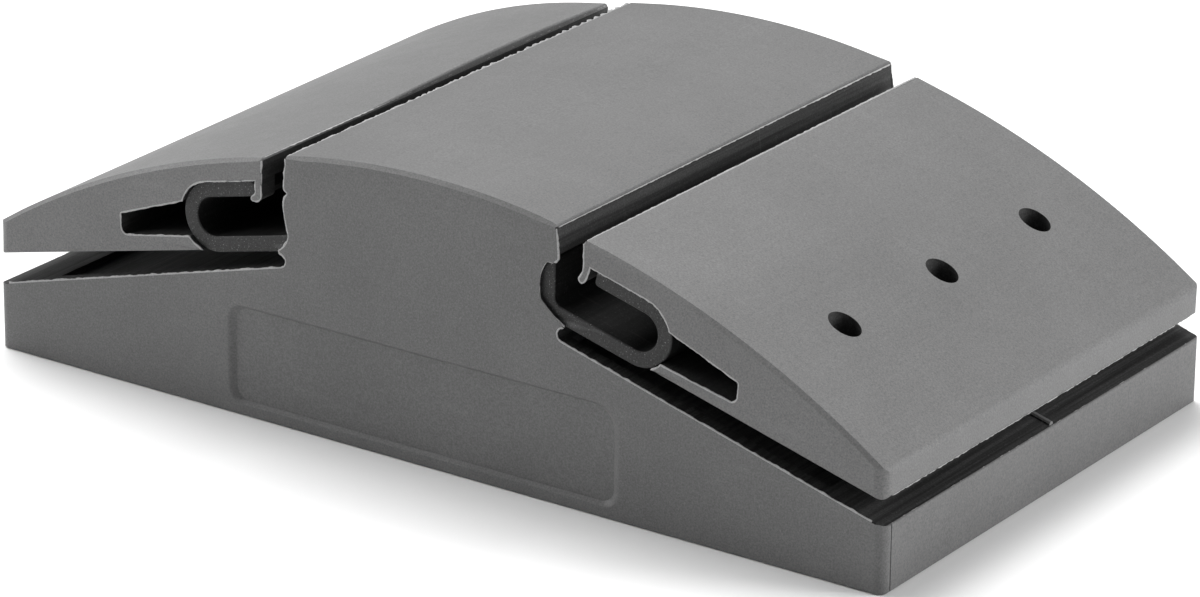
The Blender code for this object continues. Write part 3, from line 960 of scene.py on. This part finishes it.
def inner_lip(side):
    """How far the flap's skin stands out over the slot; the left one bulges near the front."""
    def width(p):
        bulging = clamped((p.y + 76) / 6) * clamped((-30 - p.y) / 9)
        return LIP_FLASH + (LIP_BULGE * bulging if side == "left" else 0.0)

    return width


def bolt_drill(number):
    row_y = BOLT_Y + (number - (BOLT_COUNT - 1) / 2) * BOLT_PITCH
    centre = (BOLT_X - PIVOT["right"].x, row_y)
    ring = arc(centre, BOLT_DIAMETER / 2, 0, 360, BOLT_SIDES)[:-1]
    return prism("drill", ring, CUT_LOW, CUT_HIGH, up="Z")


# ---------------------------------------------------------------------------
# materials
# ---------------------------------------------------------------------------
class Nodes:
    """Short ways to add and join shader nodes."""

    def __init__(self, name):
        self.material = bpy.data.materials.new(name)
        self.material.use_nodes = True
        self.tree = self.material.node_tree
        self.shader = self.tree.nodes["Principled BSDF"]
        self.place = self.tree.nodes.new("ShaderNodeTexCoord").outputs["Object"]

    def join(self, start, end):
        self.tree.links.new(start, end)

    def scaled(self, factors):
        """The place in the object, stretched."""
        node = self.tree.nodes.new("ShaderNodeMapping")
        node.inputs["Scale"].default_value = factors
        self.join(self.place, node.inputs["Vector"])
        return node.outputs["Vector"]

    def noise(self, scale, detail, roughness, vector=None):
        node = self.tree.nodes.new("ShaderNodeTexNoise")
        node.inputs["Scale"].default_value = scale
        node.inputs["Detail"].default_value = detail
        node.inputs["Roughness"].default_value = roughness
        self.join(vector or self.place, node.inputs["Vector"])
        return node.outputs["Fac"]

    def ramp(self, value, low, high, dark, light):
        """Map a value from low..high to dark..light, clamped."""
        node = self.tree.nodes.new("ShaderNodeMapRange")
        for name, number in (("From Min", low), ("From Max", high), ("To Min", dark), ("To Max", light)):
            node.inputs[name].default_value = number
        self.join(value, node.inputs["Value"])
        return node.outputs["Result"]

    def math(self, operation, a, b):
        node = self.tree.nodes.new("ShaderNodeMath")
        node.operation = operation
        for socket, value in zip(node.inputs, (a, b)):
            if isinstance(value, (int, float)):
                socket.default_value = value
            else:
                self.join(value, socket)
        return node.outputs["Value"]

    def bump(self, height, strength, distance, under=None):
        node = self.tree.nodes.new("ShaderNodeBump")
        node.inputs["Strength"].default_value = strength
        node.inputs["Distance"].default_value = distance
        self.join(height, node.inputs["Height"])
        if under:
            self.join(under, node.inputs["Normal"])
        return node.outputs["Normal"]


CLOUD_SCALE = 22.0         # noise scales, per metre
GRAIN_SCALE = 1900.0
SPECK_SCALE = 2000.0
SHEEN_SCALE = 60.0
WAVE_SCALE = 160.0
RELIEF_SCALE = 2100.0
DRAWN_SCALES = (900.0, 10.0, 900.0)
SCUFF_SCALES = (26.0, 520.0, 140.0)
ROUGHNESS_PLAY = 0.06


def rubber(name, tone, grain, speck, streak, roughness, gloss=0.42):
    """Moulded rubber: mottled grey, fine grain, drawn marks along Y, scuffs and pale specks."""
    n = Nodes(name)
    cloud = n.ramp(n.noise(CLOUD_SCALE, 5.0, 0.6), 0.3, 0.7, 0.93, 1.07)
    fine = n.ramp(n.noise(GRAIN_SCALE, 2.0, 0.7), 0.3, 0.7, 1 - grain, 1 + grain)
    marks = n.noise(1.0, 3.0, 0.6, n.scaled(DRAWN_SCALES))
    drawn = n.ramp(marks, 0.36, 0.64, 1 - streak, 1 + streak)
    specks = n.ramp(n.noise(SPECK_SCALE, 2.0, 0.6), 0.62, 0.72, 0.0, speck)
    value = n.math("MULTIPLY", n.math("MULTIPLY", cloud, fine), n.math("MULTIPLY", drawn, tone))
    scratches = n.noise(1.0, 2.0, 0.5, n.scaled(SCUFF_SCALES))
    scuffs = n.ramp(scratches, 0.66, 0.76, 0.0, speck * 0.4)
    value = n.math("ADD", n.math("ADD", value, specks), scuffs)
    colour = n.tree.nodes.new("ShaderNodeCombineColor")
    for channel in colour.inputs:
        n.join(value, channel)
    n.join(colour.outputs["Color"], n.shader.inputs["Base Color"])
    sheen = n.noise(SHEEN_SCALE, 6.0, 0.65)
    rough = n.ramp(sheen, 0.3, 0.7, roughness - ROUGHNESS_PLAY, roughness + ROUGHNESS_PLAY)
    n.join(rough, n.shader.inputs["Roughness"])
    waves = n.bump(n.noise(WAVE_SCALE, 4.0, 0.6), 0.12, 0.0004)
    grained = n.bump(n.noise(RELIEF_SCALE, 3.0, 0.65), 0.35, 0.0001, waves)
    n.join(grained, n.shader.inputs["Normal"])
    n.shader.inputs["Specular IOR Level"].default_value = gloss
    return n.material


# ---------------------------------------------------------------------------
# setting
# ---------------------------------------------------------------------------
CAMERA_AZIMUTH = math.radians(34.491)
CAMERA_ELEVATION = math.radians(21.249)
CAMERA_ROLL = math.radians(0.608)
CAMERA_SIDE, CAMERA_UP, CAMERA_BACK = 1.966, 21.304, 1635.809
CAMERA_LENS = 170.73
LIGHTS = (                 # name, place, size and power
    ("front_left_softbox", (-1.9, -0.9, 1.0), (1.2, 1.4), 25),
    ("back_right_softbox", (1.75, 0.95, 0.75), (1.0, 1.2), 36),
    ("overhead", (-0.9, 0.5, 2.0), (1.8, 1.4), 68),
)
LIGHT_AIM = Vector((0, 0, 0.04))
WORLD_STRENGTH = 0.2
FLOOR_SIZE = 6000.0
FLOOR_DROP = 0.2
FLOOR_TONE = 0.9
FLOOR_ROUGHNESS = 0.85


def make_camera():
    back = Vector((
        math.sin(CAMERA_AZIMUTH) * math.cos(CAMERA_ELEVATION),
        -math.cos(CAMERA_AZIMUTH) * math.cos(CAMERA_ELEVATION),
        math.sin(CAMERA_ELEVATION),
    ))
    level = Vector((math.cos(CAMERA_AZIMUTH), math.sin(CAMERA_AZIMUTH), 0.0))
    upright = back.cross(level)
    right = level * math.cos(CAMERA_ROLL) + upright * math.sin(CAMERA_ROLL)
    up = upright * math.cos(CAMERA_ROLL) - level * math.sin(CAMERA_ROLL)
    data = bpy.data.cameras.new("camera")
    data.sensor_width = 36.0
    data.lens = CAMERA_LENS
    data.clip_start, data.clip_end = 0.05, 50.0
    camera = bpy.data.objects.new("camera", data)
    pose = Matrix((right, up, back)).transposed().to_4x4()
    pose.translation = (right * CAMERA_SIDE + up * CAMERA_UP + back * CAMERA_BACK) * MM
    camera.matrix_world = pose
    bpy.context.scene.collection.objects.link(camera)
    bpy.context.scene.camera = camera


def add_light(name, spot, size, power):
    """Soft rectangular light that faces the object."""
    data = bpy.data.lights.new(name, "AREA")
    data.shape = "RECTANGLE"
    data.size, data.size_y = size
    data.energy = power
    light = bpy.data.objects.new(name, data)
    light.location = spot
    light.rotation_euler = (LIGHT_AIM - Vector(spot)).to_track_quat("-Z", "Y").to_euler()
    bpy.context.scene.collection.objects.link(light)


def make_world():
    world = bpy.data.worlds.new("studio")
    world.use_nodes = True
    background = world.node_tree.nodes["Background"]
    background.inputs["Color"].default_value = (1, 1, 1, 1)
    background.inputs["Strength"].default_value = WORLD_STRENGTH
    bpy.context.scene.world = world
    bpy.context.scene.view_settings.view_transform = "Standard"


def make_floor():
    bm = bmesh.new()
    bmesh.ops.create_grid(bm, x_segments=1, y_segments=1, size=FLOOR_SIZE)
    bmesh.ops.translate(bm, verts=bm.verts, vec=(0, 0, -FLOOR_DROP))
    floor = add_object("floor", bm)
    paint = bpy.data.materials.new("floor_paint")
    paint.use_nodes = True
    shader = paint.node_tree.nodes["Principled BSDF"]
    shader.inputs["Base Color"].default_value = (FLOOR_TONE, FLOOR_TONE, FLOOR_TONE, 1)
    shader.inputs["Roughness"].default_value = FLOOR_ROUGHNESS
    floor.data.materials.append(paint)


make_camera()
for light in LIGHTS:
    add_light(*light)
make_world()
make_floor()

base_rubber = rubber("base_rubber", tone=0.122, grain=0.24, speck=0.03, streak=0.02, roughness=0.58)
# darker copy of the base rubber that paints the shade in its grooves, slots and under the flaps
base_shade_painted_rubber = rubber(
    "base_shade_painted_rubber", tone=0.026, grain=0.4, speck=0.04, streak=0.6, roughness=0.7, gloss=0.32)
flap_rubber = rubber("flap_rubber", tone=0.14, grain=0.25, speck=0.03, streak=0.02, roughness=0.55)
# darker copy of the flap rubber that paints the shade under the domes
flap_shade_painted_rubber = rubber(
    "flap_shade_painted_rubber", tone=0.026, grain=0.4, speck=0.03, streak=0.3, roughness=0.7)
clip_rubber = rubber("clip_rubber", tone=0.019, grain=0.5, speck=0.2, streak=0.02, roughness=0.6)
# darker copy of the clip rubber that paints the shade on its hidden long faces
clip_shade_painted_rubber = rubber(
    "clip_shade_painted_rubber", tone=0.006, grain=0.45, speck=0.03, streak=0.4, roughness=0.7, gloss=0.22)
trim_rubber = rubber("trim_rubber", tone=0.34, grain=0.2, speck=0.05, streak=0.05, roughness=0.6)

make_base((base_rubber, base_shade_painted_rubber, trim_rubber))
for side in ("left", "right"):
    make_clip(side, (clip_rubber, clip_shade_painted_rubber, trim_rubber))
    make_flap(side, (flap_rubber, flap_shade_painted_rubber, trim_rubber))
